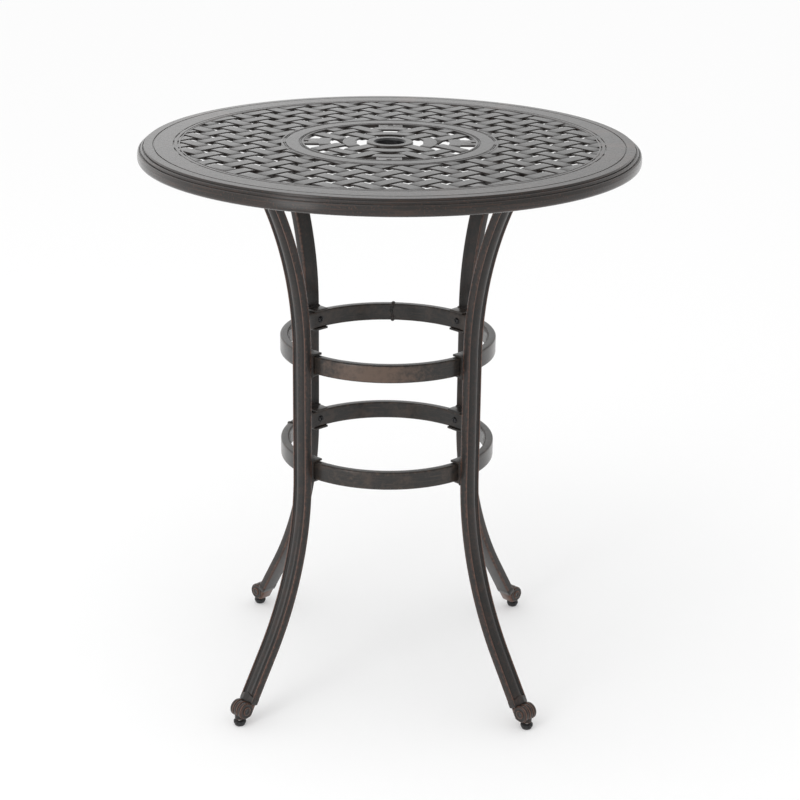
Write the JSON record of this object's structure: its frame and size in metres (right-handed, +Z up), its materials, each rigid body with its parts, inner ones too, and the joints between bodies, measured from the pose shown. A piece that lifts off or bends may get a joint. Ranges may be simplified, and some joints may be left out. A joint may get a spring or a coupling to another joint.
{
  "type": "bar table",
  "caption": "Round bar-height patio table with a woven cast top, umbrella hole, bowed fluted legs braced by hoops, and screw levelling feet.",
  "frame": {"origin": "on the floor, midway between the four feet and under the umbrella hole", "axes": "+Z up along the umbrella hole; -Y towards the viewer; the legs stand at 45 degrees between X and Y"},
  "size_m": [0.8839, 0.884, 1.016],
  "materials": {
    "bronze_coat": "semi-gloss antique bronze powder coat over cast aluminium",
    "dark_steel": "coated with the hoops, bare at the edges",
    "zinc_steel": "bright zinc plate",
    "insert_brass": "turned",
    "sleeve_plastic": "moulded, satin",
    "pad_plastic": "moulded, matt"
  },
  "bodies": {
    "table": {"foot_insert_back_left": "insert_brass", "foot_insert_back_right": "insert_brass", "foot_insert_front_left": "insert_brass", "foot_insert_front_right": "insert_brass", "hoop_bolts": "dark_steel", "leg_back_left": "bronze_coat", "leg_back_right": "bronze_coat", "leg_bolts": "zinc_steel", "leg_flat_washers": "zinc_steel", "leg_front_left": "bronze_coat", "leg_front_right": "bronze_coat", "leg_lock_washers": "zinc_steel", "lower_bracket_back_left": "bronze_coat", "lower_bracket_back_right": "bronze_coat", "lower_bracket_front_left": "bronze_coat", "lower_bracket_front_right": "bronze_coat", "lower_hoop": "bronze_coat", "table_top": "bronze_coat", "umbrella_sleeve": "sleeve_plastic", "upper_bracket_back_left": "bronze_coat", "upper_bracket_back_right": "bronze_coat", "upper_bracket_front_left": "bronze_coat", "upper_bracket_front_right": "bronze_coat", "upper_hoop": "bronze_coat"},
    "stud_front_left": {"leveller_stud_front_left": "zinc_steel"},
    "pad_front_left": {"leveller_pad_front_left": "pad_plastic"},
    "stud_front_right": {"leveller_stud_front_right": "zinc_steel"},
    "pad_front_right": {"leveller_pad_front_right": "pad_plastic"},
    "stud_back_right": {"leveller_stud_back_right": "zinc_steel"},
    "pad_back_right": {"leveller_pad_back_right": "pad_plastic"},
    "stud_back_left": {"leveller_stud_back_left": "zinc_steel"},
    "pad_back_left": {"leveller_pad_back_left": "pad_plastic"}
  },
  "joints": [
    {"name": "travel_front_left", "type": "slide", "parent": "table", "child": "stud_front_left", "axis": [0, 0, 1], "range_m": [-0.008, 0.003]},
    {"name": "turn_front_left", "type": "hinge", "parent": "stud_front_left", "child": "pad_front_left", "pos_m": [-0.2588, -0.2588, 0], "axis": [0, 0, 1], "range_deg": [-3060, 1260]},
    {"name": "travel_front_right", "type": "slide", "parent": "table", "child": "stud_front_right", "axis": [0, 0, 1], "range_m": [-0.008, 0.003]},
    {"name": "turn_front_right", "type": "hinge", "parent": "stud_front_right", "child": "pad_front_right", "pos_m": [0.2588, -0.2588, 0], "axis": [0, 0, 1], "range_deg": [-3060, 1260]},
    {"name": "travel_back_right", "type": "slide", "parent": "table", "child": "stud_back_right", "axis": [0, 0, 1], "range_m": [-0.008, 0.003]},
    {"name": "turn_back_right", "type": "hinge", "parent": "stud_back_right", "child": "pad_back_right", "pos_m": [0.2588, 0.2588, 0], "axis": [0, 0, 1], "range_deg": [-3060, 1260]},
    {"name": "travel_back_left", "type": "slide", "parent": "table", "child": "stud_back_left", "axis": [0, 0, 1], "range_m": [-0.008, 0.003]},
    {"name": "turn_back_left", "type": "hinge", "parent": "stud_back_left", "child": "pad_back_left", "pos_m": [-0.2588, 0.2588, 0], "axis": [0, 0, 1], "range_deg": [-3060, 1260]}
  ],
  "couplings": [
    {"joint": "turn_front_left", "follows": "travel_front_left", "rad_per_m": 6283.2},
    {"joint": "turn_front_right", "follows": "travel_front_right", "rad_per_m": 6283.2},
    {"joint": "turn_back_right", "follows": "travel_back_right", "rad_per_m": 6283.2},
    {"joint": "turn_back_left", "follows": "travel_back_left", "rad_per_m": 6283.2}
  ]
}
